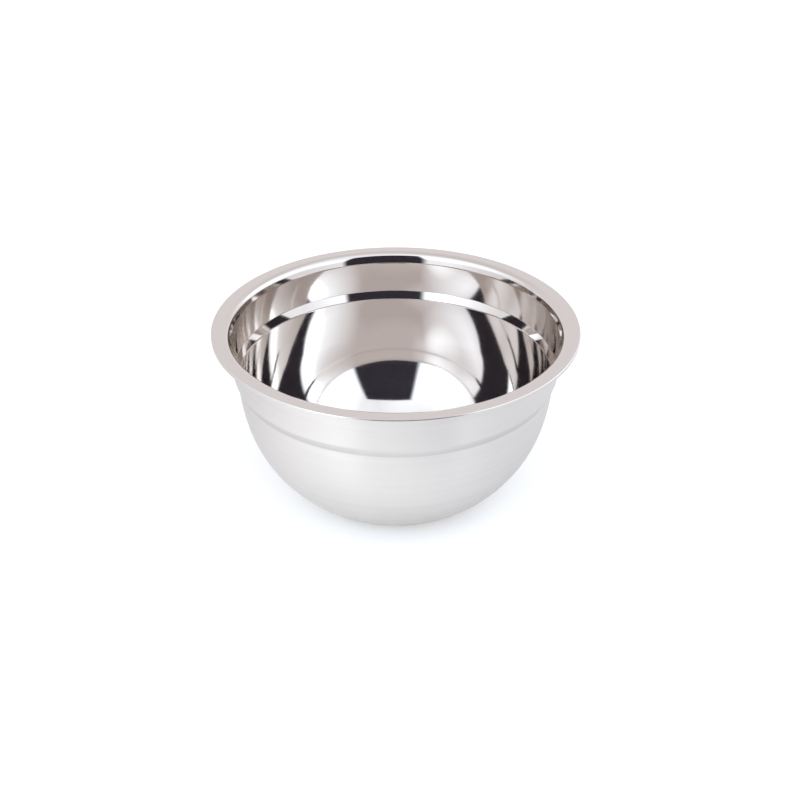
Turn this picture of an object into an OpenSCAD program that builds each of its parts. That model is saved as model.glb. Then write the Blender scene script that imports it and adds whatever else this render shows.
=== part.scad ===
// Stainless steel mixing bowl, deep drawn from one disc of sheet.
// It is a surface of revolution: one strip of even thickness follows the meridian, from the
// turned-down edge over the flat lip and down the stepped side to the middle of the base.
// Points on the meridian are [radius, height] and lie on the middle of the sheet.
// The base stands on height 0, centred on the axis.

/* [Sheet] */
// Thickness of the steel sheet
sheet_t = 0.5; // [0.4:0.1:0.8]

/* [Rim] */
// Outer diameter over the edge of the lip
rim_d = 200; // [190:1:230]
// Height of the lip's upper face above the table
bowl_h = 100; // [94:1:110]
// Inner radius of the bend at the turned-down edge
edge_bend_r = 0.1; // [0.1:0.1:0.8]
// How far the edge is turned down below the lip's upper face
edge_h = 1.9; // [1.7:0.1:3]
// Width of the lip, from its outer edge to the corner of the mouth
lip_w = 8.6; // [7:0.1:12]

/* [Mouth] */
// Radius of the bend between the lip and the flare
mouth_bend_r = 4.4; // [3:0.1:6]
// Depth of the flare's foot below the lip's upper face
flare_h = 6; // [5:0.1:8]
// How far the flare leans inwards over its depth
flare_w = 1.7; // [1:0.1:3]
// Radius of the bend between the flare and the upper band
flare_bend_r = 3; // [2:0.5:5]

/* [Upper band and ledge] */
// Height of the upper band between the flare and the ledge
band_h = 18.6; // [14:0.1:22]
// Lean of the upper band from the vertical, in degrees
band_lean = 1.3; // [0:0.1:3]
// Height of the sloping ledge
ledge_h = 4.8; // [3.5:0.1:6]
// Width of the sloping ledge
ledge_w = 2.1; // [1.5:0.1:3]
// Radius of the bend between the upper band and the ledge
ledge_top_bend_r = 1.5; // [1:0.1:3]
// Radius of the bend at the ledge's foot
ledge_foot_bend_r = 2.5; // [1:0.1:3]

/* [Body] */
// Lean of the side from the vertical just below the ledge, in degrees
side_lean = 2; // [0:0.1:4]
// Lean at which the gently curved side passes into the rounded body, in degrees
body_lean = 14.7; // [12:0.1:18]
// Height above the table at which it does
body_h = 45.3; // [40:0.1:52]
// How far the rounded body curves in from there to the rim of the flat base
body_w = 36.3; // [30:0.1:42]

/* [Base] */
// Outer radius of the corner between the base and the body
base_corner_r = 12; // [8:0.5:16]

/* [Hidden] */
$fn = 180;

// The coarsest steps that a bend is drawn with: a length along it, and an angle in degrees
step_length = 4;
step_angle = 12;

half_t = sheet_t / 2;
lip_height = bowl_h - half_t;
edge_radius = rim_d / 2 - half_t;

// Corners of the meridian down to the foot of the ledge
edge_end = [edge_radius, bowl_h - edge_h];
edge_corner = [edge_radius, lip_height];
mouth_corner = [rim_d / 2 - lip_w, lip_height];
flare_foot = [mouth_corner.x - flare_w, bowl_h - flare_h];
ledge_top = flare_foot - [band_h * tan(band_lean), band_h];
ledge_foot = ledge_top - [ledge_w, ledge_h];

// The side starts where the bend at the ledge's foot ends
ledge_lean = lean_of(ledge_top, ledge_foot);
side_start = ledge_foot + bend_reach(ledge_foot_bend_r, ledge_lean, side_lean) * downward(side_lean);

// The corners again, with the radius of the bend at each
corners = [edge_end, edge_corner, mouth_corner, flare_foot, ledge_top, ledge_foot, side_start];
bend_radii = [
    0, edge_bend_r + half_t, mouth_bend_r, flare_bend_r, ledge_top_bend_r, ledge_foot_bend_r, 0
];

// The side is the arc that leans in by side_lean at its start, and by body_lean at height body_h
side_r = (side_start.y - body_h) / (sin(body_lean) - sin(side_lean));
side_centre = side_start - side_r * outward(side_lean);
body_start = side_centre + side_r * outward(body_lean);

// The base corner is an arc round a centre above the rim of the flat base
corner_r = base_corner_r - half_t;
corner_centre = [body_start.x - body_w, base_corner_r];

// The body is the one arc that carries on from the side and runs smoothly into the base corner.
// Its centre lies on the side's last radius, and body_r - corner_r away from corner_centre.
span = body_start - corner_centre;
body_r = (span * span - corner_r * corner_r) / (2 * (outward(body_lean) * span - corner_r));
body_centre = body_start - body_r * outward(body_lean);
corner_lean = atan2(body_centre.y - corner_centre.y, corner_centre.x - body_centre.x);

// Direction down along a wall that leans in from the vertical by an angle
function downward(lean) = [-sin(lean), -cos(lean)];

// Direction that faces out of that wall
function outward(lean) = [cos(lean), -sin(lean)];

// Lean of the straight line from one point on to the next: a lip that runs inwards has
// 90 degrees, and an edge that runs upwards has 180
function lean_of(from, to) = atan2(from.x - to.x, from.y - to.y);

// Distance from a corner to the end of the bend that rounds it
function bend_reach(radius, before, after) = radius * tan(abs(after - before) / 2);

// Number of steps that an arc is drawn with
function arc_steps(radius, turn) =
    ceil(max(turn / step_angle, radius * turn * PI / 180 / step_length));

// A station on the meridian: its point, and the direction that faces out of the sheet there
function station(point, lean) = [point, outward(lean)];

// Stations along an arc that turns from one lean to another, without the one that it starts at
function arc_stations(centre, radius, before, after) =
    let (steps = arc_steps(radius, abs(after - before)))
    [for (i = [1 : steps])
        let (lean = before + (after - before) * i / steps)
        station(centre + sign(after - before) * radius * outward(lean), lean)];

// Stations along the bend at one of the corners
function bend_stations(i) =
    let (
        radius = bend_radii[i],
        before = lean_of(corners[i - 1], corners[i]),
        after = lean_of(corners[i], corners[i + 1]),
        start = corners[i] - bend_reach(radius, before, after) * downward(before),
        centre = start - sign(after - before) * radius * outward(before)
    )
    concat([station(start, before)], arc_stations(centre, radius, before, after));

meridian = concat(
    [station(edge_end, lean_of(edge_end, edge_corner))],
    [for (i = [1 : len(corners) - 2]) each bend_stations(i)],
    arc_stations(side_centre, side_r, side_lean, body_lean),
    arc_stations(body_centre, body_r, body_lean, corner_lean),
    arc_stations(corner_centre, corner_r, corner_lean, 90),
    [station([0, half_t], 90)]
);

// The drawn bowl, in one piece: the sheet's two faces lie half a thickness off the meridian
module bowl_shell() {
    outer_face = [for (s = meridian) s[0] + half_t * s[1]];
    inner_face = [for (i = [len(meridian) - 1 : -1 : 0]) meridian[i][0] - half_t * meridian[i][1]];
    color([0.80, 0.79, 0.78])
        rotate_extrude()
            polygon(concat(outer_face, inner_face));
}

bowl_shell();
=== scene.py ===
import math

import bpy
import numpy as np
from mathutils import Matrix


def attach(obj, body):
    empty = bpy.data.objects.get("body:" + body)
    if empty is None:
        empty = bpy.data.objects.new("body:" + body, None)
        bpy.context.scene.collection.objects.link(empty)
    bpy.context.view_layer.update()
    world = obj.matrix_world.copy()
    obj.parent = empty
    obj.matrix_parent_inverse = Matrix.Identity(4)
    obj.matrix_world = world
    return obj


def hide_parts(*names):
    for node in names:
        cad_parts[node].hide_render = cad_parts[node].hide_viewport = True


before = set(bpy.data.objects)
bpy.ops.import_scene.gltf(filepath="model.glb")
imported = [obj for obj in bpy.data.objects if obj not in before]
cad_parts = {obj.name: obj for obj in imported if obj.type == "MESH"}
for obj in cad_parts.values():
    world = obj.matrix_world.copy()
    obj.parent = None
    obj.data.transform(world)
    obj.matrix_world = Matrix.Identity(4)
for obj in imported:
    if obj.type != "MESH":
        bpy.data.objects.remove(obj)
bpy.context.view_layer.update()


# The bowl: one disc of stainless sheet, deep drawn over a punch into a rounded body with a
# stepped upper band and a flat lip whose edge is turned down. It is turned against polishing
# wheels, bright inside and on the lip, and fine satin outside.
SHEET = 0.0005
RIM_RADIUS = 0.100
BOWL_HEIGHT = 0.100
EDGE_BEND = 0.0001
EDGE_HEIGHT = 0.0019
LIP_WIDTH = 0.0086
MOUTH_BEND = 0.0044
FLARE_DEPTH = 0.0060
FLARE_LEAN_IN = 0.0017
FLARE_BEND = 0.0030
BAND_HEIGHT = 0.0186
BAND_LEAN = math.radians(1.3)
LEDGE_HEIGHT = 0.0048
LEDGE_WIDTH = 0.0021
LEDGE_TOP_BEND = 0.0015
LEDGE_FOOT_BEND = 0.0025
SIDE_LEAN = math.radians(2.0)
BODY_LEAN = math.radians(14.7)
BODY_HEIGHT = 0.0453
BODY_WIDTH = 0.0363
BASE_CORNER = 0.012
HALF = SHEET / 2

# How finely it is drawn
SEGMENTS = 320
STEPS_PER_DEGREE = 0.42
ARC_STEPS_MIN = 4
EDGE_ROUND_STEPS = 8
FLAT_STEPS = 5


def outward(lean):
    """Unit vector in the (radius, height) plane that faces out of a wall leaning in by an angle:
    (cos lean, -sin lean)."""
    return np.stack([np.cos(lean), -np.sin(lean)], axis=-1)


def downward(lean):
    """Unit vector down along that wall: (-sin lean, -cos lean)."""
    return np.stack([-np.sin(lean), -np.cos(lean)], axis=-1)


def lean_between(start, end):
    """Lean of the straight line from one point of the meridian on to the next."""
    return math.atan2(start[0] - end[0], start[1] - end[1])


def arc(centre, radius, before, after):
    """Points and leans along an arc that turns from one lean to another: the centre plus or minus
    radius times the outward vector, in even steps of lean."""
    steps = max(ARC_STEPS_MIN, math.ceil(STEPS_PER_DEGREE * math.degrees(abs(after - before))))
    lean = np.linspace(before, after, steps + 1)
    side = math.copysign(1.0, after - before)
    return centre + side * radius * outward(lean), lean


def bend(before_point, corner, after_point, radius):
    """The arc that rounds a corner of the meridian: it touches both straight lines at a distance
    of radius times the tangent of half the turn."""
    before = lean_between(before_point, corner)
    after = lean_between(corner, after_point)
    start = corner - radius * math.tan(abs(after - before) / 2) * downward(before)
    side = math.copysign(1.0, after - before)
    return arc(start - side * radius * outward(before), radius, before, after)


def bowl_meridian():
    """Points and leans on the middle of the sheet, from the turned edge to the rim of the flat
    base: bends round the corners of the lip, flare, band and ledge, then three arcs that run into
    each other, for the side, the body and the corner of the base. The body's centre lies on the
    side's last radius, as far from the corner's centre as their radii differ."""
    edge_end = np.array([RIM_RADIUS - HALF, BOWL_HEIGHT - EDGE_HEIGHT + HALF])
    edge_corner = np.array([RIM_RADIUS - HALF, BOWL_HEIGHT - HALF])
    mouth_corner = np.array([RIM_RADIUS - LIP_WIDTH, BOWL_HEIGHT - HALF])
    flare_foot = np.array([mouth_corner[0] - FLARE_LEAN_IN, BOWL_HEIGHT - FLARE_DEPTH])
    ledge_top = flare_foot - BAND_HEIGHT * np.array([math.tan(BAND_LEAN), 1.0])
    ledge_foot = ledge_top - np.array([LEDGE_WIDTH, LEDGE_HEIGHT])
    ledge_lean = lean_between(ledge_top, ledge_foot)
    reach = LEDGE_FOOT_BEND * math.tan((ledge_lean - SIDE_LEAN) / 2)
    side_start = ledge_foot + reach * downward(SIDE_LEAN)
    pieces = [
        (edge_end[None], np.array([math.pi])),
        bend(edge_end, edge_corner, mouth_corner, EDGE_BEND + HALF),
        bend(edge_corner, mouth_corner, flare_foot, MOUTH_BEND),
        bend(mouth_corner, flare_foot, ledge_top, FLARE_BEND),
        bend(flare_foot, ledge_top, ledge_foot, LEDGE_TOP_BEND),
        bend(ledge_top, ledge_foot, side_start, LEDGE_FOOT_BEND),
    ]

    side_radius = (side_start[1] - BODY_HEIGHT) / (math.sin(BODY_LEAN) - math.sin(SIDE_LEAN))
    side_centre = side_start - side_radius * outward(SIDE_LEAN)
    side = arc(side_centre, side_radius, SIDE_LEAN, BODY_LEAN)
    body_start = side[0][-1]
    corner_radius = BASE_CORNER - HALF
    corner_centre = np.array([body_start[0] - BODY_WIDTH, BASE_CORNER])
    span = body_start - corner_centre
    beyond_corner = outward(BODY_LEAN) @ span - corner_radius
    body_radius = (span @ span - corner_radius**2) / (2 * beyond_corner)
    body_centre = body_start - body_radius * outward(BODY_LEAN)
    from_body = corner_centre - body_centre
    corner_lean = math.atan2(-from_body[1], from_body[0])
    body = arc(body_centre, body_radius, BODY_LEAN, corner_lean)
    base_corner = arc(corner_centre, corner_radius, corner_lean, math.pi / 2)

    # Each of the three starts on the last point of the arc before it
    pieces += [(points[1:], leans[1:]) for points, leans in (side, body, base_corner)]
    points, leans = zip(*pieces)
    return np.concatenate(points), np.concatenate(leans)


# The bright polish starts on the bend of the turned edge, where the lean has come down to this
POLISH_LEAN = math.radians(110)


def bowl_profile():
    """Closed outline of the sheet with its normals, from the middle of the underside out to the
    edge and back over the lip to the middle of the floor: the meridian plus and minus half the
    thickness along its outward vector, joined round the deburred edge by a half circle. Also
    gives the number of the first stretch of it with the bright polish."""
    points, leans = bowl_meridian()
    normals = outward(leans)
    half_turn = np.linspace(0.0, math.pi, EDGE_ROUND_STEPS + 1)[1:-1]
    edge_normals = np.stack([-np.cos(half_turn), -np.sin(half_turn)], axis=-1)
    edge_points = points[0] + HALF * edge_normals
    under = (points + HALF * normals)[::-1]
    over = points - HALF * normals
    flat_under = np.linspace([0.0, 0.0], under[0], FLAT_STEPS + 1)[:-1]
    flat_over = np.linspace(over[-1], [0.0, SHEET], FLAT_STEPS + 1)[1:]
    down = np.broadcast_to([0.0, -1.0], (FLAT_STEPS, 2))
    profile = np.concatenate([flat_under, under, edge_points, over, flat_over])
    profile_normals = np.concatenate([down, normals[::-1], edge_normals, -normals, -down])
    onto_lip = np.flatnonzero(leans < POLISH_LEAN)[0]
    first_polished = len(flat_under) + len(under) + len(edge_points) + onto_lip
    return profile, profile_normals, first_polished


def turn_round(pairs):
    """Turns (radius, height) pairs round the axis, each into a ring of SEGMENTS vectors:
    x = r cos a, y = r sin a, z = height."""
    angle = 2 * math.pi * np.arange(SEGMENTS) / SEGMENTS
    circle = np.stack([np.cos(angle), np.sin(angle)], axis=-1)
    across = pairs[:, None, :1] * circle
    upright = np.broadcast_to(pairs[:, None, 1:], across.shape[:2] + (1,))
    return np.concatenate([across, upright], axis=-1).reshape(-1, 3)


def revolve(name, profile, normals, first_polished):
    """Surface of revolution on a grid of (place on the profile, angle). Both ends lie on the axis
    and close in a fan. The UV map holds the share of a turn and the length along the profile in
    metres. Faces from first_polished on take material 1."""
    rings = profile[1:-1]
    under_pole = [[0.0, 0.0, profile[0, 1]]]
    over_pole = [[0.0, 0.0, profile[-1, 1]]]
    vertices = np.concatenate([under_pole, turn_round(rings), over_pole])
    ring_normals = turn_round(normals[1:-1])
    vertex_normals = np.concatenate([[[0.0, 0.0, -1.0]], ring_normals, [[0.0, 0.0, 1.0]]])

    here = np.arange(SEGMENTS)
    there = (here + 1) % SEGMENTS
    ring = 1 + SEGMENTS * np.arange(len(rings))
    low, high = ring[:-1, None], ring[1:, None]
    quads = np.stack([low + here, low + there, high + there, high + here], axis=-1).reshape(-1, 4)
    under_fan = np.stack([np.zeros_like(here), ring[0] + there, ring[0] + here], axis=-1)
    last = np.full_like(here, len(vertices) - 1)
    over_fan = np.stack([ring[-1] + here, ring[-1] + there, last], axis=-1)
    corners = np.concatenate([under_fan.reshape(-1), quads.reshape(-1), over_fan.reshape(-1)])
    sizes = np.concatenate([np.full(SEGMENTS, 3), np.full(len(quads), 4), np.full(SEGMENTS, 3)])

    length = np.concatenate([[0.0], np.cumsum(np.linalg.norm(np.diff(profile, axis=0), axis=1))])
    grid = (len(rings) - 1, SEGMENTS)
    u0, u1, middle = here / SEGMENTS, (here + 1) / SEGMENTS, (here + 0.5) / SEGMENTS
    left, right = np.broadcast_to(u0, grid), np.broadcast_to(u1, grid)
    start = np.broadcast_to(length[1:-2, None], grid)
    end = np.broadcast_to(length[2:-1, None], grid)
    quad_uv = np.stack([left, start, right, start, right, end, left, end], axis=-1)
    first_v, last_v, end_v = (np.full(SEGMENTS, length[i]) for i in (1, -2, -1))
    under_uv = np.stack([middle, 0 * middle, u1, first_v, u0, first_v], axis=-1)
    over_uv = np.stack([u0, last_v, u1, last_v, middle, end_v], axis=-1)
    uv = np.concatenate([under_uv.reshape(-1), quad_uv.reshape(-1), over_uv.reshape(-1)])

    mesh = bpy.data.meshes.new(name)
    mesh.vertices.add(len(vertices))
    mesh.vertices.foreach_set("co", vertices.reshape(-1))
    mesh.loops.add(len(corners))
    mesh.loops.foreach_set("vertex_index", corners.astype(np.int32))
    mesh.polygons.add(len(sizes))
    mesh.polygons.foreach_set("loop_start", (np.cumsum(sizes) - sizes).astype(np.int32))
    rows = np.repeat(np.arange(len(profile) - 1), SEGMENTS)
    mesh.polygons.foreach_set("material_index", (rows >= first_polished).astype(np.int32))
    mesh.uv_layers.new(name="turn_and_length").data.foreach_set("uv", uv.astype(np.float32))
    mesh.update()
    mesh.validate()
    mesh.shade_smooth()
    mesh.normals_split_custom_set_from_vertices(vertex_normals.tolist())
    piece = bpy.data.objects.new(name, mesh)
    bpy.context.scene.collection.objects.link(piece)
    return piece


def add_node(tree, kind, sockets=None, **settings):
    """Adds a node with its settings. Each of the given sockets, by name or by number, is linked to
    another node's output, or takes a plain value."""
    node = tree.nodes.new(kind)
    for setting, value in settings.items():
        setattr(node, setting, value)
    for socket, value in (sockets or {}).items():
        if isinstance(value, bpy.types.NodeSocket):
            tree.links.new(value, node.inputs[socket])
        else:
            node.inputs[socket].default_value = value
    return node


def calculate(tree, operation, *values):
    """Output of a Math node that does an operation on values or outputs."""
    node = add_node(tree, "ShaderNodeMath", dict(enumerate(values)), operation=operation)
    return node.outputs["Value"]


def ramp(tree, value, start, end, low=0.0, high=1.0, course="LINEAR"):
    """Output of a Map Range node that goes from low to high while the value goes from start to
    end."""
    sockets = {"Value": value, "From Min": start, "From Max": end, "To Min": low, "To Max": high}
    node = add_node(tree, "ShaderNodeMapRange", sockets, interpolation_type=course)
    return node.outputs["Result"]


def mix(tree, kind, share, first, second):
    """Output of a Mix node of a kind, FLOAT or RGBA, that goes from the first to the second."""
    sockets = {"Factor": share, "A": first, "B": second}
    return add_node(tree, "ShaderNodeMix", sockets, data_type=kind).outputs["Result"]


def opaque(color):
    """A colour with full alpha."""
    return (*color, 1.0)


def new_material(name):
    """A material with its node tree and the inputs of its Principled shader."""
    material = bpy.data.materials.new(name)
    material.use_nodes = True
    tree = material.node_tree
    return material, tree, tree.nodes["Principled BSDF"].inputs


LINE_DETAIL = 3.0
BAND_DETAIL = 1.0
CLOUD_DETAIL = 2.0


def turned_polish():
    """Node group for marks that polishing leaves on work that turns: noise that is drawn out round
    the axis and packed close along the profile, so its cells become rings. Lines is fine, Bands is
    broad, and Cloud is even in all directions, for handling and for the buff's uneven pressure."""
    group = bpy.data.node_groups.new("turned_polish", "ShaderNodeTree")
    face = group.interface
    face.new_socket("Position", in_out="INPUT", socket_type="NodeSocketVector")
    for name in ("Length", "Round", "Line Density", "Band Density", "Cloud Density"):
        face.new_socket(name, in_out="INPUT", socket_type="NodeSocketFloat")
    for name in ("Lines", "Bands", "Cloud"):
        face.new_socket(name, in_out="OUTPUT", socket_type="NodeSocketFloat")
    given = add_node(group, "NodeGroupInput").outputs
    drawn_out = {"Vector": given["Position"], "Scale": given["Round"]}
    drawn_out = add_node(group, "ShaderNodeVectorMath", drawn_out, operation="SCALE")
    parts = add_node(group, "ShaderNodeSeparateXYZ", {"Vector": drawn_out.outputs["Vector"]})
    marks = {}
    for mark, density, detail in (
        ("Lines", given["Line Density"], LINE_DETAIL),
        ("Bands", given["Band Density"], BAND_DETAIL),
    ):
        along = calculate(group, "MULTIPLY", given["Length"], density)
        rings = {"X": parts.outputs["X"], "Y": parts.outputs["Y"], "Z": along}
        rings = add_node(group, "ShaderNodeCombineXYZ", rings).outputs["Vector"]
        noise = {"Vector": rings, "Scale": 1.0, "Detail": detail}
        marks[mark] = add_node(group, "ShaderNodeTexNoise", noise).outputs["Fac"]
    noise = {"Vector": given["Position"], "Scale": given["Cloud Density"], "Detail": CLOUD_DETAIL}
    marks["Cloud"] = add_node(group, "ShaderNodeTexNoise", noise).outputs["Fac"]
    add_node(group, "NodeGroupOutput", marks)
    return group


# Noise keeps mostly between these two values, and this share of what dulls the steel is cloud
NOISE_LOW = 0.3
NOISE_HIGH = 0.7
CLOUD_SHARE = 0.4


def steel(name, polish, densities, tones, roughness, relief_depth, relief_shares):
    """Stainless steel with its polishing marks. densities are the group's four values, tones the
    two ends of the metal's colour over the bands, roughness its two ends over the lines and cloud,
    and relief_shares say how much of the lines and of the cloud goes into the relief."""
    material, tree, shader = new_material(name)
    shader["Metallic"].default_value = 1.0
    place = add_node(tree, "ShaderNodeTexCoord").outputs["Object"]
    profile_map = add_node(tree, "ShaderNodeUVMap", uv_map="turn_and_length").outputs["UV"]
    length = add_node(tree, "ShaderNodeSeparateXYZ", {"Vector": profile_map}).outputs["Y"]
    given = {"Position": place, "Length": length, **densities}
    marks = add_node(tree, "ShaderNodeGroup", given, node_tree=polish).outputs

    tone = mix(tree, "RGBA", marks["Bands"], opaque(tones[0]), opaque(tones[1]))
    tree.links.new(tone, shader["Base Color"])
    grain = mix(tree, "FLOAT", CLOUD_SHARE, marks["Lines"], marks["Cloud"])
    tree.links.new(ramp(tree, grain, NOISE_LOW, NOISE_HIGH, *roughness), shader["Roughness"])
    swell = calculate(tree, "MULTIPLY", marks["Cloud"], relief_shares[1])
    relief = calculate(tree, "MULTIPLY_ADD", marks["Lines"], relief_shares[0], swell)
    bump = add_node(tree, "ShaderNodeBump", {"Distance": relief_depth, "Height": relief})
    tree.links.new(bump.outputs["Normal"], shader["Normal"])
    return material


# The ledge's foot is a hollow, and painted shade darkens the satin's colour there.
# It darkens between each pair of heights, from above and from below.
LEDGE_SHADE_TONE = (0.635, 0.605, 0.585)
LEDGE_SHADE_FROM_ABOVE = (0.0757, 0.0714)
LEDGE_SHADE_FROM_BELOW = (0.0697, 0.0706)


def paint_ledge_shade(material):
    """Mixes the painted shade's darker tone into the base colour by the product of two ramps over
    the height.
    """
    tree = material.node_tree
    base_color = tree.nodes["Principled BSDF"].inputs["Base Color"]
    place = add_node(tree, "ShaderNodeTexCoord").outputs["Object"]
    height = add_node(tree, "ShaderNodeSeparateXYZ", {"Vector": place}).outputs["Z"]
    from_above = ramp(tree, height, *LEDGE_SHADE_FROM_ABOVE)
    from_below = ramp(tree, height, *LEDGE_SHADE_FROM_BELOW)
    ledge_shade = calculate(tree, "MULTIPLY", from_above, from_below)
    worked = base_color.links[0].from_socket
    tree.links.new(mix(tree, "RGBA", ledge_shade, worked, opaque(LEDGE_SHADE_TONE)), base_color)


polish = turned_polish()
satin = steel(
    "satin_steel",
    polish,
    densities={"Round": 8.0, "Line Density": 2600.0, "Band Density": 420.0, "Cloud Density": 18.0},
    tones=((0.770, 0.732, 0.699), (0.718, 0.682, 0.650)),
    roughness=(0.27, 0.33),
    relief_depth=0.000003,
    relief_shares=(1.0, 1.0),
)
# Painted shade: the satin's colour is made darker at the ledge's foot
paint_ledge_shade(satin)

# The satin's reflection is stretched along the profile, across the polishing lines
satin_shader = satin.node_tree.nodes["Principled BSDF"].inputs
satin_shader["Anisotropic"].default_value = 0.7
satin_shader["Anisotropic Rotation"].default_value = 0.25
round_axis = add_node(satin.node_tree, "ShaderNodeTangent", direction_type="RADIAL", axis="Z")
satin.node_tree.links.new(round_axis.outputs["Tangent"], satin_shader["Tangent"])

polished = steel(
    "polished_steel",
    polish,
    densities={"Round": 9.0, "Line Density": 1500.0, "Band Density": 200.0, "Cloud Density": 14.0},
    tones=((0.740, 0.702, 0.675), (0.715, 0.678, 0.652)),
    roughness=(0.03, 0.08),
    relief_depth=0.00001,
    relief_shares=(0.02, 10.0),
)

bowl = revolve("bowl", *bowl_profile())
bowl.data.materials.append(satin)
bowl.data.materials.append(polished)
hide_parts("bowl_shell")
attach(bowl, "root")


# The table is a plain white board with a slight sheen, which keeps the bowl's shadow. The camera
# and the metal see it lighter than its diffuse colour, and the metal sees a painted pool of light
# on it in front of the bowl, on the side of the tent's stronger lamp.
FLOOR_HALF = 3.0
FLOOR_GAP = 0.0001
FLOOR_COLOR = (0.78, 0.78, 0.78)
FLOOR_ROUGHNESS = 0.12
FLOOR_SHEEN_IN_METAL = 0.5
FLOOR_GLOW = 0.30
# A painted pool of light: glow on the board that only the metal sees
PAINTED_POOL_IN_METAL = 0.30
PAINTED_POOL_CENTRE = (-0.10, -0.20, 0.0)
PAINTED_POOL_SPAN = (0.06, 0.30)
WHITE = (1.0, 1.0, 1.0, 1.0)


def floor_board():
    """White board. Its glow is FLOOR_GLOW to the camera, and to the metal it is a painted pool of
    light that falls off smoothly with the distance from the pool's centre."""
    material, tree, shader = new_material("floor_board")
    shader["Base Color"].default_value = opaque(FLOOR_COLOR)
    shader["Roughness"].default_value = FLOOR_ROUGHNESS
    shader["Emission Color"].default_value = WHITE
    path = add_node(tree, "ShaderNodeLightPath").outputs
    sheen = calculate(tree, "MULTIPLY", path["Is Glossy Ray"], FLOOR_SHEEN_IN_METAL)
    tree.links.new(sheen, shader["Specular IOR Level"])
    place = add_node(tree, "ShaderNodeTexCoord").outputs["Object"]
    ends = {0: place, 1: PAINTED_POOL_CENTRE}
    distance = add_node(tree, "ShaderNodeVectorMath", ends, operation="DISTANCE").outputs["Value"]
    painted_pool = ramp(tree, distance, *PAINTED_POOL_SPAN, PAINTED_POOL_IN_METAL, 0.0, course="SMOOTHSTEP")
    in_metal = calculate(tree, "MULTIPLY", path["Is Glossy Ray"], painted_pool)
    glow = calculate(tree, "MULTIPLY_ADD", path["Is Camera Ray"], FLOOR_GLOW, in_metal)
    tree.links.new(glow, shader["Emission Strength"])
    return material


def add_surroundings(name, points, faces, material):
    """A piece of the surroundings from its corner points and its faces."""
    mesh = bpy.data.meshes.new(name)
    mesh.from_pydata(points.tolist(), [], faces)
    mesh.materials.append(material)
    piece = bpy.data.objects.new(name, mesh)
    bpy.context.scene.collection.objects.link(piece)
    return piece


square = np.array([[-1, -1, 0], [1, -1, 0], [1, 1, 0], [-1, 1, 0]])
floor_points = FLOOR_HALF * square - [0, 0, FLOOR_GAP]
floor = add_surroundings("floor", floor_points, [(0, 1, 2, 3)], floor_board())


# The light tent: white cloth over a frame, open on the camera's side. A lamp outside each front
# corner lights it, the left one close enough to leave a hot middle, and a small lamp near the back
# lights the right wall low down. The table's bounced light reaches the lower cloth best.
TENT_HALF_WIDTH = 0.45
TENT_HALF_LENGTH = 0.50
TENT_HEIGHT = 0.92
CLOTH_LOW = 0.47
CLOTH_HIGH = 0.78
CLOTH_LIGHT_LOW = (0.89, 0.865, 0.885)
CLOTH_LIGHT_HIGH = (0.80, 0.76, 0.77)
LAMP_FOOT = 0.08
LAMP_FULL = 0.36
LAMPS = (
    {"place": (-0.45, -0.57, 0.47), "reach": 0.82, "light": (1.40, 1.72, 2.00)},
    {"place": (-0.45, -0.57, 0.47), "reach": 0.27, "light": (1.95, 2.35, 2.70)},
    {"place": (0.45, -0.31, 0.48), "reach": 0.85, "light": (0.88, 1.08, 1.27)},
    {"place": (0.45, 0.24, 0.22), "reach": 0.36, "light": (1.20, 1.45, 1.65)},
)
OPENING_CENTRE = 0.098
OPENING_HALF_WIDTH = 0.302
OPENING_EDGE = 0.035
OPENING_DARK = (0.034, 0.030, 0.042)
FRONT_DEPTH = 0.001


def lit_cloth(tree, place, height):
    """Light of each point of the cloth: its own light, which runs from one tone to another with
    height, plus each lamp's light times one minus the distance from the lamp over its reach. Near
    the table the lamps' light fades out."""
    rise = ramp(tree, height, CLOTH_LOW, CLOTH_HIGH)
    light = mix(tree, "RGBA", rise, opaque(CLOTH_LIGHT_LOW), opaque(CLOTH_LIGHT_HIGH))
    lit = ramp(tree, height, LAMP_FOOT, LAMP_FULL)
    for lamp in LAMPS:
        ends = {0: place, 1: lamp["place"]}
        distance = add_node(tree, "ShaderNodeVectorMath", ends, operation="DISTANCE")
        fall = ramp(tree, distance.outputs["Value"], 0.0, lamp["reach"], lit, 0.0)
        glow = {0: lamp["light"], "Scale": fall}
        glow = add_node(tree, "ShaderNodeVectorMath", glow, operation="SCALE")
        total = {0: light, 1: glow.outputs["Vector"]}
        total = add_node(tree, "ShaderNodeVectorMath", total, operation="ADD")
        light = total.outputs["Vector"]
    return light


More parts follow.
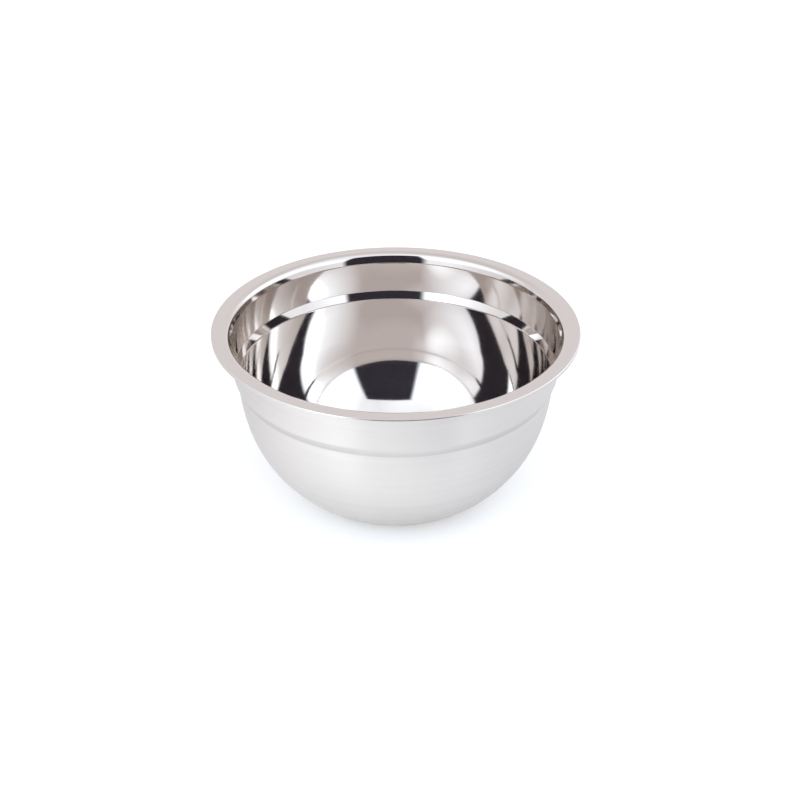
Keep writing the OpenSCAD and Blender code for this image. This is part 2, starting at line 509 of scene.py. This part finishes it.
def tent_cloth():
    """The lit cloth as plain light. In the front wall it turns dark across the opening's soft
    edges, but only in the metal: the table's own light has no dark patch before the opening."""
    material, tree, _ = new_material("tent_cloth")
    tree.nodes.clear()
    place = add_node(tree, "ShaderNodeTexCoord").outputs["Object"]
    parts = add_node(tree, "ShaderNodeSeparateXYZ", {"Vector": place}).outputs
    light = lit_cloth(tree, place, parts["Z"])
    aside = calculate(tree, "ABSOLUTE", calculate(tree, "SUBTRACT", parts["X"], OPENING_CENTRE))
    edge_start = OPENING_HALF_WIDTH - OPENING_EDGE
    edge_end = OPENING_HALF_WIDTH + OPENING_EDGE
    gap = ramp(tree, aside, edge_start, edge_end, 1.0, 0.0, course="SMOOTHSTEP")
    in_front = calculate(tree, "LESS_THAN", parts["Y"], FRONT_DEPTH - TENT_HALF_LENGTH)
    opening = calculate(tree, "MULTIPLY", gap, in_front)
    path = add_node(tree, "ShaderNodeLightPath").outputs
    in_metal = calculate(tree, "MULTIPLY", opening, path["Is Glossy Ray"])
    seen = mix(tree, "RGBA", in_metal, light, opaque(OPENING_DARK))
    emission = add_node(tree, "ShaderNodeEmission", {"Color": seen}).outputs["Emission"]
    add_node(tree, "ShaderNodeOutputMaterial", {"Surface": emission})
    return material


# A box without a floor
tent_size = [TENT_HALF_WIDTH, TENT_HALF_LENGTH, TENT_HEIGHT]
tent_points = np.concatenate([square, square + [0, 0, 1]]) * tent_size
tent_walls = [(0, 1, 5, 4), (1, 2, 6, 5), (2, 3, 7, 6), (3, 0, 4, 7), (4, 5, 6, 7)]
tent = add_surroundings("light_tent", tent_points, tent_walls, tent_cloth())
tent.visible_camera = False


# White surroundings outside the tent, and the light's path: the bright inner wall shows the tent
# over many reflections.
REFLECTIONS = 12
world = bpy.data.worlds.new("world")
world.use_nodes = True
world.node_tree.nodes["Background"].inputs["Color"].default_value = WHITE
world.node_tree.nodes["Background"].inputs["Strength"].default_value = 1.0
bpy.context.scene.world = world
bpy.context.scene.view_settings.view_transform = "Standard"
bpy.context.scene.cycles.glossy_bounces = REFLECTIONS


# The camera stands about as far off and as high as the photograph's did. The bowl's axis lies a
# little left of the middle of the frame.
CAMERA_DISTANCE = 0.650
CAMERA_ELEVATION = math.radians(31.5)
AIM_HEIGHT = 0.0500
FOCAL_PIXELS = 1144.0
FRAME_PIXELS = 800.0
AXIS_PIXEL = 395.7
SENSOR_WIDTH = 36.0
camera = bpy.data.cameras.new("camera")
camera.sensor_width = SENSOR_WIDTH
camera.lens = SENSOR_WIDTH * FOCAL_PIXELS / FRAME_PIXELS
camera.shift_x = (FRAME_PIXELS / 2 - AXIS_PIXEL) / FRAME_PIXELS
viewer = bpy.data.objects.new("camera", camera)
back = CAMERA_DISTANCE * math.cos(CAMERA_ELEVATION)
up = CAMERA_DISTANCE * math.sin(CAMERA_ELEVATION)
viewer.location = (0.0, -back, AIM_HEIGHT + up)
viewer.rotation_euler = (math.pi / 2 - CAMERA_ELEVATION, 0.0, 0.0)
bpy.context.scene.collection.objects.link(viewer)
bpy.context.scene.camera = viewer
